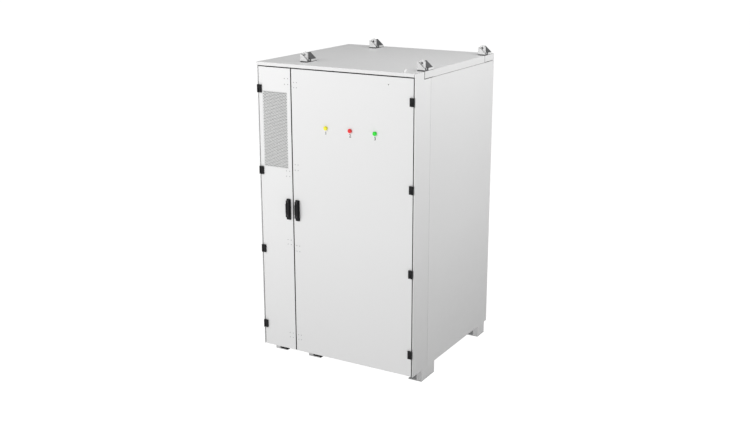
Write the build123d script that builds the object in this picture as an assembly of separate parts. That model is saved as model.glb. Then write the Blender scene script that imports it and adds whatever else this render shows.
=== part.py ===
from build123d import *
import math
import os

# Outdoor battery cabinet: a load frame on folded feet, a wide door over the battery rack, a narrow door over
# the cooling unit and switchgear, rod locks worked by swing handles, and four lifting lugs.
# Everything is laid out in cabinet coordinates, in millimetres: X from the left side, Y back from the doors'
# front face, Z up from the floor. save() then moves it so that the origin is the centre of the four corner
# floor anchors, at floor level.

# ---------------------------------------------------------------- driving dimensions
body_width = 1300.0
body_depth = 1300.0
foot_height = 90.0
body_height = 2190.0
main_left = 290.0  # left side of the load frame, where the side compartment ends

skin = 2.0  # outer sheets
frame_sheet = 3.0  # folded frame members
slip = 0.3  # gap between pieces that only lie beside each other
panel_gap = 1.2  # seam between neighbouring outer sheets
bracket_gap = 5.0  # seam round each lifting bracket
pivot_clearance = 0.05  # radial, on every pin and shaft

door_thickness = 36.0
door_bottom_gap = 2.0
door_top_gap = 8.0
roof_lip_height = 24.0
seam_offset = 4.75  # centre of the seam between the doors, right of the load frame's left side
seam_gap = 6.5
side_nose = 7.0  # front edge of the side strips, as seen from the front
side_gap = 6.0  # between a door and that edge
seal_thickness = 6.0
seal_width = 9.0
seal_inset = 14.0  # from the door's top and bottom edges
liner_thickness = 2.0
rib_hinge_inset = 24.0
rib_lock_inset = 66.0
rib_depth = 20.0
door_return = 14.0  # inward fold round the back of a door pan

post_width = 60.0
post_depth = 100.0
post_front = 146.0
post_rear_inset = 54.0
beam_height = 60.0
middle_beam_offset = 30.0  # right of the load frame's left side
rear_beam_width = 50.0
cross_beam_inset = 40.0  # behind the front feet's front edge
front_strip_depth = 228.0
roof_flange_height = 50.0
tray_fold = 22.0
roof_overhang = 4.0
breather_inset = 85.0  # from the right side
breather_front = 18.0
breather_radius = 14.0
breather_tip = 6.0
breather_stem = 6.0
breather_cone = 21.0

foot_width = 108.0
left_foot_start = 6.0
front_foot = (140.0, 348.0)
rear_foot_depth = 124.0
rear_foot_inset = 42.0
foot_sheet = 6.0
foot_flange = 40.0
anchor_radius = 9.0
middle_foot_offset = 26.0  # right of the load frame's left side

lug_width = 60.0
lug_depth = 130.0
lug_front = 133.0
lug_rear_inset = 40.0
lug_base = 6.0
lug_cheek_height = 46.0
lug_plate = 5.0
lug_height = 76.0
lug_eye_radius = 11.0
lug_eye_offset = 32.0  # from the lug's left side
lug_eye_front = 16.0  # front face of the eye plate behind the lug's front
lug_eye_thickness = 18.0
lug_eye_outer = 26.0
lug_bolt_bay = 22.0
lug_bolt_spacing = 28.0
lug_bolt_hex = 9.5  # centre to corner
lug_bolt_head = 8.0
bracket_wall = 8.0
bracket_top = 12.0
gasket_inset = 2.0
bracket_height = 46.0
gasket_thickness = 3.0

hinge_count = 4
hinge_low = 170.0  # centre of the lowest above the body's lower edge
hinge_top_inset = 192.0  # centre of the highest below the body's top
hinge_height = 58.0
hinge_leaf_width = 22.0
hinge_leaf_thickness = 12.0
barrel_radius = 7.0
hinge_bevel = 2.5
leaf_gap = 0.5  # between a leaf's plate and the knuckle beside it
knuckle_gap = 0.2  # half the gap between the upper and lower knuckles
hinge_pin_radius = 3.0
hinge_axis_out = 8.0  # in front of the doors
tongue_thickness = 3.0

handle_width = 34.0
handle_corner = 4.0
handle_length = 158.0
handle_bottom = 1037.0  # above the body's lower edge
handle_offset = 36.0  # spindle from the door's free edge
handle_base_thickness = 8.0
spindle_radius = 6.0
hub_radius = 13.0
grip_width = 27.0
grip_pin_y = -17.0
grip_foot = 4.0  # underside of the grip above the base's lower end
grip_rise = 3.0  # the lever's lower part in front of its pin end
grip_rib = 4.0
grip_rib_height = 1.5
tongue_width = 12.0
tongue_reach = 5.0  # in front of the pin
hub_thickness = 2.0
grip_swing_radius = 6.5
grip_pin_radius = 3.0
lock_barrel_radius = 8.0

gear_module = 1.5
pinion_teeth = 12
pressure_angle = 20.0
tooth_backlash = 0.3
rack_addendum = 1.0
pinion_addendum = 1.3
tooth_clearance = 0.5
rod_thickness = 5.6
rod_depth = 6.0
rack_overrun = 9.0  # each rod past the spindle's centre
rod_short_of_keeper = 1.0
case_half_width = 19.0
case_half_height = 34.0
case_wall = 2.0
right_guide_heights = (113.0, 821.0, 1440.0)  # above the body's lower edge
right_guide_inset = 147.0  # the highest, below the body's top
left_guide_heights = (116.0, 860.0, 1385.0)
left_guide_inset = 127.0
guide_height = 26.0

mullion_width = 32.0
mullion_offset = 10.0  # left of the load frame's left side
jamb_width = 30.0
jamb_proud = 4.0  # past the door's edge, into the gap
frame_depth = 56.0

lamp_spacing = 200.5
lamp_shift = -5.5  # middle lamp from the door's middle
lamp_drop = 434.0  # below the body's top
lamp_radius = 15.0
lamp_out = 14.0
lamp_bevel = 4.0
lamp_body_radius = 11.0
lamp_body_depth = 13.0

louvre_count = 8
louvre_pitch = 60.0
louvre_opening = 24.0
louvre_inset = 35.0  # from the side compartment's edges
louvre_reach = 16.0  # inward from the rear face

grille_insets = (31.0, 30.5)  # from the left door's edges
grille_drop = 204.0  # upper edge below the body's top
grille_height = 565.0
grille_sheet = 1.5
liner_lip = 12.0  # liner inside the grille's outline
grille_slot = 5.0
grille_pitch = 22.0
filter_inset = 4.0
filter_thickness = 12.0

pack_count = 8
pack_side_gaps = (25.0, 52.7)  # to the load posts
pack_rear_gap = 68.0
pack_gap = 18.0
pack_top_gap = 18.0
pack_front = 160.0
first_pack = 96.0  # underside of the lowest pack above the body's lower edge
pack_tray = 96.0
pack_rim = 6.0
pack_rim_out = 8.0
terminal_panel_inset = 60.0
terminal_panel = 6.0
terminal_inset = 84.0
terminal_height = 50.0
socket_radius = 17.0
socket_length = 24.0
busbar_width = 24.0
busbar_thickness = 5.0
manifold_insets = (44.0, 14.0)  # from the packs' right side
manifold_out = 44.0  # in front of the packs
manifold_radius = 12.0
branch_half = 6.0
branch_height = 40.0
rail_gap = 12.0  # rail web beside the pack
rail_height = 70.0
rail_thickness = 3.0
rail_shelf = 34.0

fan_radius = 104.0
fan_hub_radius = 38.0
fan_blades = 5
fan_shaft_radius = 4.0
fan_strut = 24.0
fan_gap = 4.0
fan_spacing = 270.0
fan_depth = 34.0
shroud_front = 150.0
shroud_depth = 120.0
motor_length = 29.0
blade_root = 44.0
blade_tip = 66.0
blade_thickness = 2.5
blade_angle = 26.0
header_radius = 13.0
cooler_margin = 30.0  # cooling unit above and below the grille
cooler_left_gap = 12.0
cooler_depth = 500.0
shelf_drop = 300.0  # shelf below the cooling unit
shelf_sheet = 3.0
can_radius = 62.0
can_height = 210.0
can_bevel = 18.0
can_setback = 90.0  # compressor's axis behind the shelf's front edge
unit_gap = 48.0  # between compressor, exchanger and pump
exchanger = (110.0, 70.0, 280.0)
pump_radius = 45.0
pump_length = 120.0

switch_x_clear = 10.0  # switchgear box from the left panel's fold
switch_front = 150.0
switch_depth = 270.0
switch_bottom = 420.0  # above the body's lower edge
switch_top_gap = 188.0  # below the cooling unit's shelf
switch_knob_drop = 130.0
switch_lid = 12.0
switch_collar = 32.0
switch_collar_out = 4.0
switch_knob_radius = 24.0
switch_shaft_radius = 6.0

gland_opening = (140.0, 280.0)
gland_opening_insets = (60.0, 320.0)  # from the load frame's left side and from the back
gland_spacing = (64.0, 120.0)
gland_bore_radius = 16.0
gland_outer_radius = 26.0
gland_height = 27.0
gland_plate_lap = 12.0

# ---------------------------------------------------------------- worked out from them
body_bottom = foot_height
body_top = foot_height + body_height
door_bottom = body_bottom + door_bottom_gap
door_top = body_top - roof_lip_height - door_top_gap
seam_centre = main_left + seam_offset
mullion_left = main_left - mullion_offset
flange_bottom = body_top - roof_flange_height
post_rear = body_depth - post_rear_inset - post_depth
left_door_edges = (side_nose + side_gap, seam_centre - seam_gap / 2)
right_door_edges = (seam_centre + seam_gap / 2, body_width - side_nose - side_gap)
liner_back = door_thickness + liner_thickness
frame_front = liner_back + seal_thickness
frame_back = frame_front + frame_depth
mullion_right = mullion_left + mullion_width
opening_bottom = body_bottom + beam_height
opening_top = door_top - 42.0
rear_foot = (body_depth - rear_foot_inset - rear_foot_depth, body_depth - rear_foot_inset)
foot_starts = (left_foot_start, main_left + middle_foot_offset, body_width - foot_width)
foot_centres = tuple(start + foot_width / 2 for start in foot_starts)
anchor_rows = (sum(front_foot) / 2, sum(rear_foot) / 2)
origin_x = (foot_centres[0] + foot_centres[2]) / 2
origin_y = sum(anchor_rows) / 2
right_hinge_x = body_width - side_nose - side_gap / 2
left_hinge_x = side_nose + side_gap / 2
right_spindle_x = right_door_edges[0] + handle_offset
left_spindle_x = left_door_edges[1] - handle_offset
spindle_z = body_bottom + handle_bottom + handle_length - handle_width / 2
pitch_radius = gear_module * pinion_teeth / 2
rack_root = gear_module + 0.4
keeper_back = frame_front + 2 * frame_sheet
gear_front = keeper_back
gear_thickness = rod_depth + 2 * slip
case_depth = gear_front + gear_thickness + slip + case_wall - liner_back
right_guides = (*right_guide_heights, body_height - right_guide_inset)
left_guides = (*left_guide_heights, body_height - left_guide_inset)
lamp_middle = sum(right_door_edges) / 2 + lamp_shift
lamp_places = (lamp_middle - lamp_spacing, lamp_middle, lamp_middle + lamp_spacing)
lamp_z = body_top - lamp_drop
grille_x = (left_door_edges[0] + grille_insets[0], left_door_edges[1] - grille_insets[1])
grille_z = (body_top - grille_drop - grille_height, body_top - grille_drop)
lug_left = (main_left, body_width - lug_width)
lug_rows = (lug_front, body_depth - lug_rear_inset - lug_depth)
lug_eye_z = body_top + gasket_thickness + lug_height - lug_eye_outer
keeper_edge = opening_top - 14.0
sill_keeper_edge = opening_bottom + 14.0
roof_underside = body_top - skin
bracket_bottom = body_top - bracket_height
roof_tube_height = 46.0
roof_frame_z = (roof_underside - bracket_height - roof_tube_height, roof_underside - bracket_height)
barrel_z = spindle_z - handle_length + handle_width + 18.0
left_post = (main_left + slip, main_left + slip + post_width)
right_post = (body_width - tray_fold - post_width, body_width - tray_fold)
pack_x = (left_post[1] + pack_side_gaps[0], right_post[0] - pack_side_gaps[1])
pack_y = (pack_front, body_depth - tray_fold - pack_rear_gap)
pack_stack = (body_bottom + first_pack, roof_frame_z[0] - pack_top_gap)
pack_pitch = (pack_stack[1] - pack_stack[0] + pack_gap) / pack_count
pack_height = pack_pitch - pack_gap
terminal_front = pack_y[0] - terminal_panel
cooler_x = (tray_fold + cooler_left_gap, main_left - skin)
cooler_middle = sum(cooler_x) / 2
grille_middle = sum(grille_z) / 2
fan_heights = (grille_middle - fan_spacing / 2, grille_middle + fan_spacing / 2)
cooler_z = (grille_z[0] - cooler_margin, grille_z[1] + cooler_margin)
shelf_top = cooler_z[0] - shelf_drop
switch_x = (tray_fold + switch_x_clear, main_left - skin)
switch_y = (switch_front, switch_front + switch_depth)
switch_z = (body_bottom + switch_bottom, shelf_top - shelf_sheet - switch_top_gap)
switch_knob_z = switch_z[1] - switch_knob_drop
switch_middle = sum(switch_x) / 2
switch_collar_front = switch_y[0] - switch_lid - switch_collar_out
gland_right = main_left - gland_opening_insets[0]
gland_opening_x = (gland_right - gland_opening[0], gland_right)
gland_rear = body_depth - gland_opening_insets[1]
gland_opening_y = (gland_rear - gland_opening[1], gland_rear)
gland_middle = (sum(gland_opening_x) / 2, sum(gland_opening_y) / 2)
gland_places = [
    (gland_middle[0] + column * gland_spacing[0] / 2, gland_middle[1] + row * gland_spacing[1] / 2)
    for row in (-1, 1)
    for column in (-1, 1)
]
lug_places = [(x, y) for x in lug_left for y in lug_rows]


def block(x, y, z):
    """A box between two limits along each axis."""
    size = (x[1] - x[0], y[1] - y[0], z[1] - z[0])
    centre = ((x[0] + x[1]) / 2, (y[0] + y[1]) / 2, (z[0] + z[1]) / 2)
    return Pos(*centre) * Box(*size)


def cylinder_y(x, z, radius, y):
    """A round bar along Y between two depths."""
    return Pos(x, (y[0] + y[1]) / 2, z) * Rot(90, 0, 0) * Cylinder(radius, y[1] - y[0])


def cylinder_z(x, y, radius, z):
    """A round bar along Z between two heights."""
    return Pos(x, y, (z[0] + z[1]) / 2) * Cylinder(radius, z[1] - z[0])


def cylinder_x(y, z, radius, x):
    """A round bar along X between two places."""
    return Pos((x[0] + x[1]) / 2, y, z) * Rot(0, 90, 0) * Cylinder(radius, x[1] - x[0])


def prism_y(points, y):
    """An outline of (X, Z) points, carried along Y between two depths."""
    face = Plane.XZ * make_face(Polyline(*points, close=True))
    return Pos(0, y[0], 0) * extrude(face, -(y[1] - y[0]))


def prism_x(points, x):
    """An outline of (Y, Z) points, carried along X between two places."""
    face = Plane.YZ * make_face(Polyline(*points, close=True))
    return Pos(x[0], 0, 0) * extrude(face, x[1] - x[0])


def tube(x, y, z, along, wall=frame_sheet):
    """A rectangular tube, open at both ends along one axis."""
    limits = {"x": x, "y": y, "z": z}
    inner = {}
    for axis, (low, high) in limits.items():
        inner[axis] = (low - 1, high + 1) if axis == along else (low + wall, high - wall)
    return block(x, y, z) - block(inner["x"], inner["y"], inner["z"])


def tray_back(x, y, z, deep, wall=skin, fold=tray_fold):
    """A sheet facing -Y or +Y with its four edges folded to the other side. deep is their signed depth."""
    outer_y = (y, y + deep) if deep > 0 else (y + deep, y)
    cut_y = (y + wall, y + deep + 1) if deep > 0 else (y + deep - 1, y - wall)
    return block(x, outer_y, z) - block((x[0] + wall, x[1] - wall), cut_y, (z[0] + wall, z[1] - wall))


def save(name, *solids):
    """Writes one sub-part: its solids, moved to the cabinet's own origin."""
    place = Pos(-origin_x, -origin_y, 0)
    moved = []
    for shape in solids:
        moved += [place * solid for solid in shape.solids()]
    whole = Compound(children=moved) if len(moved) > 1 else moved[0]
    export_step(whole, f"parts/{name}.step")


# ---------------------------------------------------------------- frame and feet
def foot(x, y, side):
    """A folded foot: anchor plate, wall, front flange and top plate. side is the wall's."""
    floor_plate = block(x, y, (0, foot_sheet))
    top_plate = block(x, y, (foot_height - foot_sheet, foot_height))
    wall_x = (x[1] - foot_sheet, x[1]) if side > 0 else (x[0], x[0] + foot_sheet)
    flange_x = (x[1] - foot_flange, x[1]) if side > 0 else (x[0], x[0] + foot_flange)
    wall = block(wall_x, y, (0, foot_height))
    flange = block(flange_x, (y[0], y[0] + foot_sheet), (0, foot_height))
    hole = cylinder_z(sum(x) / 2, sum(y) / 2, anchor_radius, (-1, foot_sheet + 1))
    return floor_plate + top_plate + wall + flange - hole


def feet():
    """Six feet, the right-hand pair with its wall on the right and the others on the left."""
    solids = []
    for start, side in zip(foot_starts, (-1, -1, 1)):
        for y in (front_foot, rear_foot):
            solids.append(foot((start, start + foot_width), y, side))
    return solids


def base_frame():
    """Longitudinal and cross tubes under the floor."""
    z = (body_bottom, body_bottom + beam_height)
    edge = tray_fold + slip
    side = (edge, edge + post_width)
    right = (body_width - edge - post_width, body_width - edge)
    middle = (main_left + middle_beam_offset, main_left + middle_beam_offset + post_width)
    rear = (body_depth - edge - rear_beam_width, body_depth - edge)
    across = (front_foot[0] + cross_beam_inset, front_foot[0] + cross_beam_inset + post_width)
    solids = [tube(x, (frame_back, rear[0]), z, "y") for x in (side, middle, right)]
    solids.append(tube((side[0], right[1]), rear, z, "x"))
    for left, far in ((side, middle), (middle, right)):
        solids.append(tube((left[1], far[0]), across, z, "x"))
    return solids


def floor_plate():
    """Floor sheet of both compartments, with a cable opening in the left one."""
    z = (body_bottom + beam_height, body_bottom + beam_height + skin)
    x = (tray_fold + slip, body_width - tray_fold - slip)
    sheet = block(x, (frame_back + slip, body_depth - tray_fold - slip), z)
    for post_x, post_y in post_places():
        sheet -= block(post_x, post_y, z)
    return sheet - block(gland_opening_x, gland_opening_y, z)


def post_places():
    """(X, Y) limits of the four load posts."""
    places = []
    for x in (left_post, right_post):
        for y in (post_front, post_rear):
            places.append((x, (y, y + post_depth)))
    return places


def posts():
    """Load posts as folded channels, open towards the compartment's middle."""
    z = (body_bottom + beam_height, roof_frame_z[0])
    solids = []
    for x, y in post_places():
        channel = block(x, y, z)
        inward = (x[0] + frame_sheet, x[1] + 1) if x[0] < body_width / 2 else (x[0] - 1, x[1] - frame_sheet)
        solids.append(channel - block(inward, (y[0] + frame_sheet, y[1] - frame_sheet), (z[0] - 1, z[1] + 1)))
    return solids


def roof_frame():
    """Tubes that tie the post tops together under the roof."""
    (left_x, front_y), (_, rear_y), (right_x, _), _ = post_places()
    z = roof_frame_z
    ends = (front_y[0], rear_y[1])
    solids = [tube(x, ends, z, "y") for x in (left_x, right_x)]
    solids += [tube((left_x[1], right_x[0]), y, z, "x") for y in (front_y, rear_y)]
    outrigger = (skin + tray_fold, left_x[0])
    solids += [tube(outrigger, y, z, "x") for y in (front_y, rear_y)]
    return solids


def door_frame():
    """Rebate round both doors: header, sill, two jambs and the mullion, all folded channels."""
    y = (frame_front, frame_back)
    left = (left_door_edges[0] - jamb_proud, left_door_edges[0] - jamb_proud + jamb_width)
    right = (body_width - left[1], body_width - left[0])
    solids = []
    for x, open_to in ((left, 1), (right, -1)):
        jamb = block(x, y, (opening_bottom, door_top))
        core = (x[0] + frame_sheet, x[1] + 1) if open_to > 0 else (x[0] - 1, x[1] - frame_sheet)
        solids.append(jamb - block(core, (y[0] + frame_sheet, y[1] + 1), (opening_bottom - 1, door_top + 1)))
    mullion = block((mullion_left, mullion_right), y, (opening_bottom, opening_top))
    core_x = (mullion_left + frame_sheet, mullion_right - frame_sheet)
    core_y = (y[0] + frame_sheet, y[1] + 1)
    solids.append(mullion - block(core_x, core_y, (opening_bottom - 1, opening_top + 1)))
    header = block((left[1], right[0]), y, (opening_top, door_top))
    header -= block((0, body_width), core_y, (opening_top - 1, door_top - frame_sheet))
    solids.append(header)
    solids.append(tube((skin + slip, body_width - skin - slip), y, (body_bottom, opening_bottom), "x"))
    return solids


def rod_keepers():
    """Catch plates behind the header and the sill, one for each rod end."""
    solids = []
    for spindle_x in (left_spindle_x, right_spindle_x):
        x = (spindle_x - case_half_width, spindle_x + case_half_width)
        web = (frame_front + frame_sheet, frame_front + 2 * frame_sheet)
        solids.append(block(x, web, (keeper_edge, door_top - frame_sheet)))
        sill_tab = block(x, web, (opening_bottom, sill_keeper_edge))
        solids.append(sill_tab)
    return solids


# ---------------------------------------------------------------- skins and roof
def right_front_strip():
    """Side sheet beside the doors, with a nose folded in at the front and a top edge level with the roof."""
    outer = block((body_width - side_nose, body_width), (0, front_strip_depth), (body_bottom, body_top))
    inner = ((0, body_width - skin), (skin, front_strip_depth + 1), (0, body_top + 1))
    strip = outer - block(*inner)
    notch_y = (lug_front - bracket_gap, front_strip_depth + 1)
    notch = block((0, body_width + 1), notch_y, (bracket_bottom - bracket_gap, body_top + 1))
    return strip - notch


def left_front_strip():
    """The same strip on the left side, under the roof's overhang."""
    outer = block((0, side_nose), (0, front_strip_depth), (body_bottom, body_top - roof_lip_height - slip))
    return outer - block((skin, body_width), (skin, front_strip_depth + 1), (0, body_top + 1))


def right_side_panel():
    """Tray set behind the strip, below the roof's side flange."""
    y = (front_strip_depth + panel_gap, body_depth)
    z = (body_bottom, flange_bottom - 2 * panel_gap)
    sheet = block((body_width - tray_fold, body_width), y, z)
    core = block((0, body_width - skin), (y[0] + skin, y[1] - skin), (z[0] + skin, z[1] - skin))
    return sheet - core


def left_side_panel():
    """Tray on the left side, below the roof's side flange."""
    y = (front_strip_depth + panel_gap, body_depth)
    z = (body_bottom, body_top - roof_lip_height - slip)
    sheet = block((0, tray_fold), y, z)
    core = block((skin, body_width), (y[0] + skin, y[1] - skin), (z[0] + skin, z[1] - skin))
    return sheet - core


def rear_panels():
    """Rear sheet of the main compartment, and the louvred sheet behind the side compartment."""
    z = (body_bottom + slip, body_top - roof_lip_height - slip)
    y = body_depth - skin
    main = tray_back((main_left + slip, body_width - skin - tray_fold), y + skin, z, -tray_fold)
    side = tray_back((tray_fold + skin, main_left - slip), y + skin, z, -tray_fold)
    louvre_x = (tray_fold + louvre_inset, main_left - louvre_inset)
    first = grille_middle - (louvre_count - 1) * louvre_pitch / 2 - louvre_opening / 2
    lows = [first + row * louvre_pitch for row in range(louvre_count)]
    for low in lows:
        side -= block(louvre_x, (y - 1, body_depth + 1), (low, low + louvre_opening))
    for low in lows:
        blade = [(y, low + louvre_opening + 3.0), (body_depth - louvre_reach, low + 4.0)]
        blade += [(body_depth - louvre_reach, low + 2.0), (y, low + louvre_opening)]
        side += prism_x(blade, louvre_x)
    return [main, side]


def partition():
    """Wall between the two compartments, standing on the floor."""
    z = (body_bottom + beam_height + skin, roof_frame_z[0])
    y = (frame_back + slip, body_depth - tray_fold - slip)
    return block((main_left - skin, main_left), y, z)


def roof_cap():
    """Roof sheet with a front lip, side flanges and a rear flange, notched round the lifting brackets."""
    right = body_width - side_nose - 3.0
    sheet = block((-roof_overhang, body_width), (0, body_depth), (roof_underside, body_top))
    sheet -= block((right, body_width + 1), (-1, lug_front - bracket_gap), (0, body_top + 1))
    lip_z = (body_top - roof_lip_height, body_top)
    lip = block((-roof_overhang, right), (0, skin), lip_z)
    left = block((-roof_overhang, -roof_overhang + skin), (0, body_depth), lip_z)
    rear = block((-roof_overhang, body_width), (body_depth - skin, body_depth), lip_z)
    flange_y = (lug_front + lug_depth, body_depth)
    flange = block((body_width - skin, body_width), flange_y, (flange_bottom, body_top))
    roof = sheet + lip + left + rear + flange
    for x, y in lug_places:
        pocket_x = (x - slip, x + lug_width + (1 if x > body_width / 2 else slip))
        roof -= block(pocket_x, (y - bracket_gap, y + lug_depth + slip), (flange_bottom, body_top + 1))
    return roof


def roof_breather():
    """Small conical breather cap at the roof's front edge, on a round stem."""
    place = Pos(body_width - breather_inset, breather_front, body_top)
    stem = place * Pos(0, 0, breather_stem / 2) * Cylinder(breather_radius - 2.0, breather_stem)
    middle = breather_stem + breather_cone / 2
    return stem + place * Pos(0, 0, middle) * Cone(breather_radius, breather_tip, breather_cone)


# ---------------------------------------------------------------- lifting lugs
def lifting_brackets():
    """Corner blocks, hollow from below, that carry each lug down onto the roof frame."""
    solids = []
    for x, y in lug_places:
        body = block((x, x + lug_width), (y, y + lug_depth), (roof_frame_z[1], body_top))
        inner_x = (x + bracket_wall, x + lug_width - bracket_wall)
        inner_y = (y + bracket_wall, y + lug_depth - bracket_wall)
        solids.append(body - block(inner_x, inner_y, (0, body_top - bracket_top)))
    return solids


def lug_gaskets():
    """Flat seals between the brackets and the lugs."""
    z = (body_top, body_top + gasket_thickness)
    solids = []
    for x, y in lug_places:
        across = (x + gasket_inset, x + lug_width - gasket_inset)
        solids.append(block(across, (y + gasket_inset, y + lug_depth - gasket_inset), z))
    return solids


def lifting_lug(x, y):
    """Base plate, front cheek, a plate sloping down to the right, and the round eye plate between them."""
    z = body_top + gasket_thickness
    right = x + lug_width
    crest = z + lug_cheek_height
    foot = z + lug_base + 2.0
    base = block((x, right), (y, y + lug_depth), (z, z + lug_base))
    cheek = [(x, z), (right, z), (right, foot), (x + lug_plate, crest), (x, crest)]
    lug = base + prism_y(cheek, (y, y + lug_plate))
    slope = [(x, crest), (x + lug_plate, crest), (right, foot), (right, z), (right - lug_plate, z)]
    slope += [(x + lug_plate, crest - 2 * lug_plate), (x + lug_plate, z), (x, z)]
    lug += prism_y(slope, (y + lug_eye_front + lug_eye_thickness + lug_bolt_bay, y + lug_depth))
    eye_x = x + lug_eye_offset
    eye_y = (y + lug_eye_front, y + lug_eye_front + lug_eye_thickness)
    lug += cylinder_y(eye_x, lug_eye_z, lug_eye_outer, eye_y)
    lug += block((eye_x - lug_eye_outer, eye_x + lug_eye_outer), eye_y, (z, lug_eye_z))
    lug -= cylinder_y(eye_x, lug_eye_z, lug_eye_radius, (eye_y[0] - 1, eye_y[1] + 1))
    return lug - cylinder_y(eye_x, lug_eye_z, lug_eye_outer - lug_plate, (y - 1, eye_y[0]))


def lug_bolts():
    """Two bolts in each lug's open bay, on its base plate."""
    solids = []
    seat = body_top + gasket_thickness + lug_base
    bay = lug_eye_front + lug_eye_thickness + lug_bolt_bay / 2
    for x, y in lug_places:
        for share in (-1, 1):
            spot = (x + lug_width / 2 + share * lug_bolt_spacing / 2, y + bay)
            solids.append(Pos(*spot, seat) * extrude(RegularPolygon(lug_bolt_hex, 6), lug_bolt_head))
    return solids


# ---------------------------------------------------------------- hinges
def hinge_door_leaf(x, z, side):
    """Leaf on the door's face with the upper knuckle. side is 1 at the right edge and -1 at the left."""
    near = barrel_radius + leaf_gap
    half = hinge_height / 2
    leaf = block((-near - hinge_leaf_width, -near), (-hinge_leaf_thickness, 0), (-half, half))
    front = leaf.edges().filter_by(Axis.Z).sort_by(Axis.Y)[:2]
    leaf = chamfer(front, hinge_bevel)
    upper = (knuckle_gap, hinge_height / 2)
    web = block((-near - 4.0, 0), (-hinge_leaf_thickness, -2.0), upper)
    knuckle = cylinder_z(0, -hinge_axis_out, barrel_radius, upper)
    shape = leaf + web + knuckle
    shape -= cylinder_z(0, -hinge_axis_out, hinge_pin_radius + pivot_clearance, (0, hinge_height / 2 + 1))
    if side < 0:
        shape = mirror(shape, Plane.YZ)
    return Pos(x, 0, z) * shape


def hinge_frame_leaf(x, z, side):
    """Lower knuckle with a tongue that runs back beside the door to the jamb."""
    lower = (-hinge_height / 2, -knuckle_gap)
    knuckle = cylinder_z(0, -hinge_axis_out, barrel_radius, lower)
    half = tongue_thickness / 2
    shape = knuckle + block((-half, half), (-hinge_axis_out, frame_front), lower)
    shape -= cylinder_z(0, -hinge_axis_out, hinge_pin_radius + pivot_clearance, (-hinge_height / 2 - 1, 0))
    if side < 0:
        shape = mirror(shape, Plane.YZ)
    return Pos(x, 0, z) * shape


def hinge_rows():
    """Centres of one door's hinges, evenly spaced between the lowest and the highest."""
    low = body_bottom + hinge_low
    step = (body_top - hinge_top_inset - low) / (hinge_count - 1)
    return [low + index * step for index in range(hinge_count)]


# ---------------------------------------------------------------- doors
def door_pan(edges):
    """Folded pan: face sheet, four edges, and a return round the back."""
    z = (door_bottom, door_top)
    pan = block(edges, (0, door_thickness), z)
    core_x = (edges[0] + skin, edges[1] - skin)
    pan -= block(core_x, (skin, door_thickness - skin), (z[0] + skin, z[1] - skin))
    back_x = (edges[0] + door_return, edges[1] - door_return)
    back_z = (z[0] + door_return, z[1] - door_return)
    return pan - block(back_x, (door_thickness - skin - 1, door_thickness + 1), back_z)


def door_liner(edges):
    """Inner sheet on the back of the pan, with three pressed stiffening ribs facing the door's core."""
    z = (door_bottom + 3.0, door_top - 3.0)
    sheet = block((edges[0] + 3.0, edges[1] - 3.0), (door_thickness, liner_back), z)
    span = (edges[0] + rib_hinge_inset, edges[1] - rib_lock_inset)
    if edges[0] > main_left:
        span = (edges[0] + rib_lock_inset, edges[1] - rib_hinge_inset)
    for share in (0.2, 0.5, 0.8):
        height = z[0] + share * (z[1] - z[0])
        rib = [(door_thickness, height - 30.0), (door_thickness - rib_depth, height - 18.0)]
        rib += [(door_thickness - rib_depth, height + 18.0), (door_thickness, height + 30.0)]
        sheet += prism_x(rib, span)
    return sheet


def door_seal(edges, overlaps):
    """Rubber strips round the back of a door. overlaps are their insets from its left and right edges."""
    y = (liner_back, frame_front)
    x = (edges[0] + overlaps[0], edges[1] - overlaps[1])
    z = (door_bottom + seal_inset, door_top - seal_inset)
    upright = (z[0] + seal_width, z[1] - seal_width)
    return [
        block(x, y, (z[0], upright[0])),
        block(x, y, (upright[1], z[1])),
        block((x[0], x[0] + seal_width), y, upright),
        block((x[1] - seal_width, x[1]), y, upright),
    ]


def right_door_panel():
    pan = door_pan(right_door_edges)
    for x in lamp_places:
        pan -= cylinder_y(x, lamp_z, lamp_body_radius + slip, (-1, skin + 1))
    return pan - cylinder_y(right_spindle_x, spindle_z, spindle_radius + 2.0, (-1, skin + 1))


def left_door_panel():
    pan = door_pan(left_door_edges)
    pan -= block(grille_x, (-1, skin + 1), grille_z)
    return pan - cylinder_y(left_spindle_x, spindle_z, spindle_radius + 2.0, (-1, skin + 1))


def spindle_hole(spindle_x):
    return cylinder_y(spindle_x, spindle_z, spindle_radius + 2.0, (2 * skin, liner_back + 1))


def left_door_liner():
    """Liner of the narrow door, open behind the grille."""
    x = (grille_x[0] + slip, grille_x[1] - liner_lip)
    z = (grille_z[0] + liner_lip, grille_z[1] - liner_lip)
    return door_liner(left_door_edges) - block(x, (0, 100), z) - spindle_hole(left_spindle_x)


def intake_grille():
    """Perforated sheet set in the door's opening, with staggered round-ended slots."""
    x = (grille_x[0] + slip, grille_x[1] - slip)
    z = (grille_z[0] + slip, grille_z[1] - slip)
    sheet = block(x, (0.3, 0.3 + grille_sheet), z)
    rows = int((z[1] - z[0] - grille_pitch) / grille_pitch)
    columns = 5
    span = (x[1] - x[0] - 16.0) / columns
    first = (z[0] + z[1]) / 2 - (rows - 1) * grille_pitch / 2
    cutters = []
    for row in range(rows):
        for column in range(columns):
            centre = x[0] + 8.0 + (column + 0.5) * span
            half = span / 2 - 4.0
            height = first + row * grille_pitch
            low = height - grille_slot / 2
            cutters.append(block((centre - half, centre + half), (-1, 4), (low, low + grille_slot)))
    return sheet - cutters


def intake_filter():
    """Washable filter mat in its seat behind the grille."""
    x = (grille_x[0] + filter_inset, grille_x[1] - filter_inset)
    z = (grille_z[0] + filter_inset, grille_z[1] - filter_inset)
    return block(x, (skin + slip, skin + slip + filter_thickness), z)


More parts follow.
